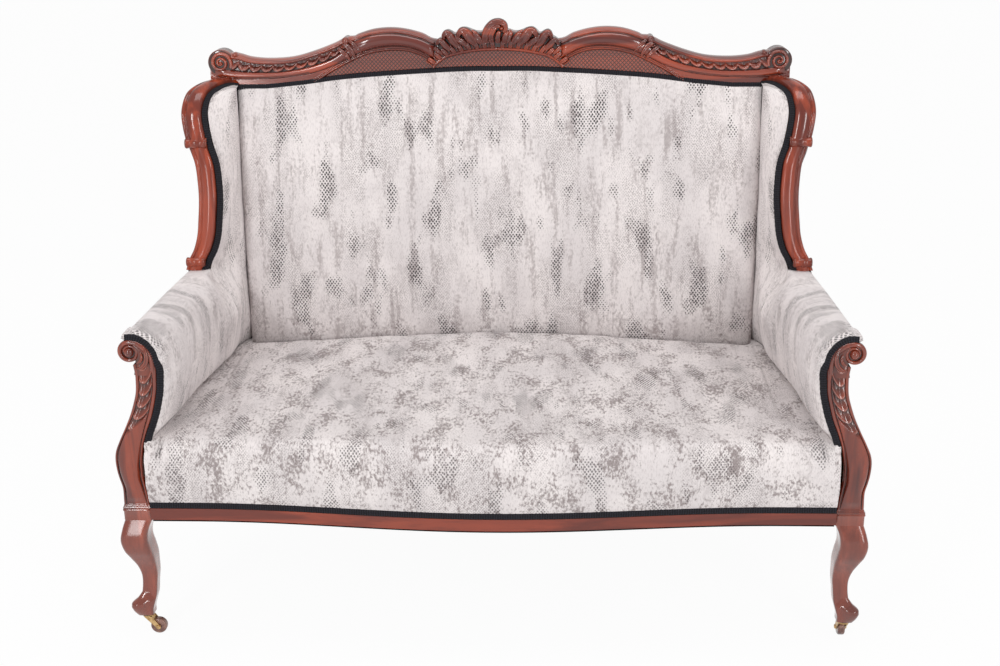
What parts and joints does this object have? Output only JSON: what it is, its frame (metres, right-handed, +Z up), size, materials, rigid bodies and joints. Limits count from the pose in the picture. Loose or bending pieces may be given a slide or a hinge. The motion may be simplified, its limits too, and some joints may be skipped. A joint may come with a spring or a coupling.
{
  "type": "winged show-wood sofa",
  "caption": "Small settee with carved crest, winged back, scrolled arm posts, bowed sprung seat and cabriole front legs on swivel casters.",
  "frame": {"origin": "on the floor under the middle of the whole sofa, wheels resting at z = 0", "axes": "+X runs along the seat, to the right as seen from the front; +Y points from the seat front to the back; +Z is up"},
  "size_m": [1.428, 0.71, 1.138],
  "materials": {
    "show_wood": "mahogany, French polished to a gloss",
    "frame_wood": "plain beech, planed, unpolished",
    "steel": "bright drawn wire and screws",
    "webbing": "woven jute webbing",
    "hessian": "coarse jute cloth",
    "lining": "black cotton lining",
    "stuffing": "curled hair and cotton wadding",
    "velvet": "pale warm grey velvet, streaked and spotted",
    "braid": "ribbed near-black gimp braid",
    "china": "cream glaze",
    "brass": "aged brass"
  },
  "bodies": {
    "frame": {"crest_rail": "show_wood", "crest_shell": "show_wood", "wing_rail_left": "show_wood", "wing_rail_right": "show_wood", "arm_post_left": "show_wood", "arm_post_right": "show_wood", "front_leg_left": "show_wood", "front_leg_right": "show_wood", "rear_leg_left": "show_wood", "rear_leg_right": "show_wood", "front_rail": "show_wood", "side_rail_left": "show_wood", "side_rail_right": "show_wood", "rear_rail": "frame_wood", "lower_back_rail": "frame_wood", "back_muntins": "frame_wood", "arm_top_rail_left": "frame_wood", "arm_top_rail_right": "frame_wood", "arm_lower_rail_left": "frame_wood", "arm_lower_rail_right": "frame_wood", "corner_blocks": "frame_wood", "frame_dowels": "frame_wood", "block_screws": "steel", "seat_webbing": "webbing", "back_webbing": "webbing", "seat_springs": "steel", "spring_hessian": "hessian", "dust_cover": "lining", "seat_stuffing": "stuffing", "seat_cover": "velvet", "back_stuffing": "stuffing", "back_cover": "velvet", "arm_stuffing_left": "stuffing", "arm_stuffing_right": "stuffing", "arm_cover_left": "velvet", "arm_cover_right": "velvet", "wing_stuffing_left": "stuffing", "wing_stuffing_right": "stuffing", "wing_cover_left": "velvet", "wing_cover_right": "velvet", "outside_panel_left": "velvet", "outside_panel_right": "velvet", "outside_back": "velvet", "seat_braid": "braid", "back_braid": "braid", "arm_braids": "braid", "wing_braids": "braid", "caster_sockets": "brass"},
    "swivel_front_left": {"caster_fork_front_left": "brass", "caster_axle_front_left": "brass"},
    "wheel_front_left": {"caster_wheel_front_left": "china"},
    "swivel_front_right": {"caster_fork_front_right": "brass", "caster_axle_front_right": "brass"},
    "wheel_front_right": {"caster_wheel_front_right": "china"},
    "swivel_rear_left": {"caster_fork_rear_left": "brass", "caster_axle_rear_left": "brass"},
    "wheel_rear_left": {"caster_wheel_rear_left": "china"},
    "swivel_rear_right": {"caster_fork_rear_right": "brass", "caster_axle_rear_right": "brass"},
    "wheel_rear_right": {"caster_wheel_rear_right": "china"}
  },
  "joints": [
    {"name": "swivel_front_left", "type": "hinge", "parent": "frame", "child": "swivel_front_left", "pos_m": [-0.6853, -0.2793, 0.04], "axis": [0, 0, 1], "continuous": true},
    {"name": "roll_front_left", "type": "hinge", "parent": "swivel_front_left", "child": "wheel_front_left", "pos_m": [-0.6643, -0.2793, 0.016], "axis": [0, 1, 0], "continuous": true},
    {"name": "swivel_front_right", "type": "hinge", "parent": "frame", "child": "swivel_front_right", "pos_m": [0.6853, -0.2793, 0.04], "axis": [0, 0, 1], "continuous": true},
    {"name": "roll_front_right", "type": "hinge", "parent": "swivel_front_right", "child": "wheel_front_right", "pos_m": [0.6853, -0.2583, 0.016], "axis": [-1, 0, 0], "continuous": true},
    {"name": "swivel_rear_left", "type": "hinge", "parent": "frame", "child": "swivel_rear_left", "pos_m": [-0.6025, 0.318, 0.04], "axis": [0, 0, 1], "continuous": true},
    {"name": "roll_rear_left", "type": "hinge", "parent": "swivel_rear_left", "child": "wheel_rear_left", "pos_m": [-0.6025, 0.339, 0.016], "axis": [-1, 0, 0], "continuous": true},
    {"name": "swivel_rear_right", "type": "hinge", "parent": "frame", "child": "swivel_rear_right", "pos_m": [0.6025, 0.318, 0.04], "axis": [0, 0, 1], "continuous": true},
    {"name": "roll_rear_right", "type": "hinge", "parent": "swivel_rear_right", "child": "wheel_rear_right", "pos_m": [0.6025, 0.339, 0.016], "axis": [-1, 0, 0], "continuous": true}
  ]
}
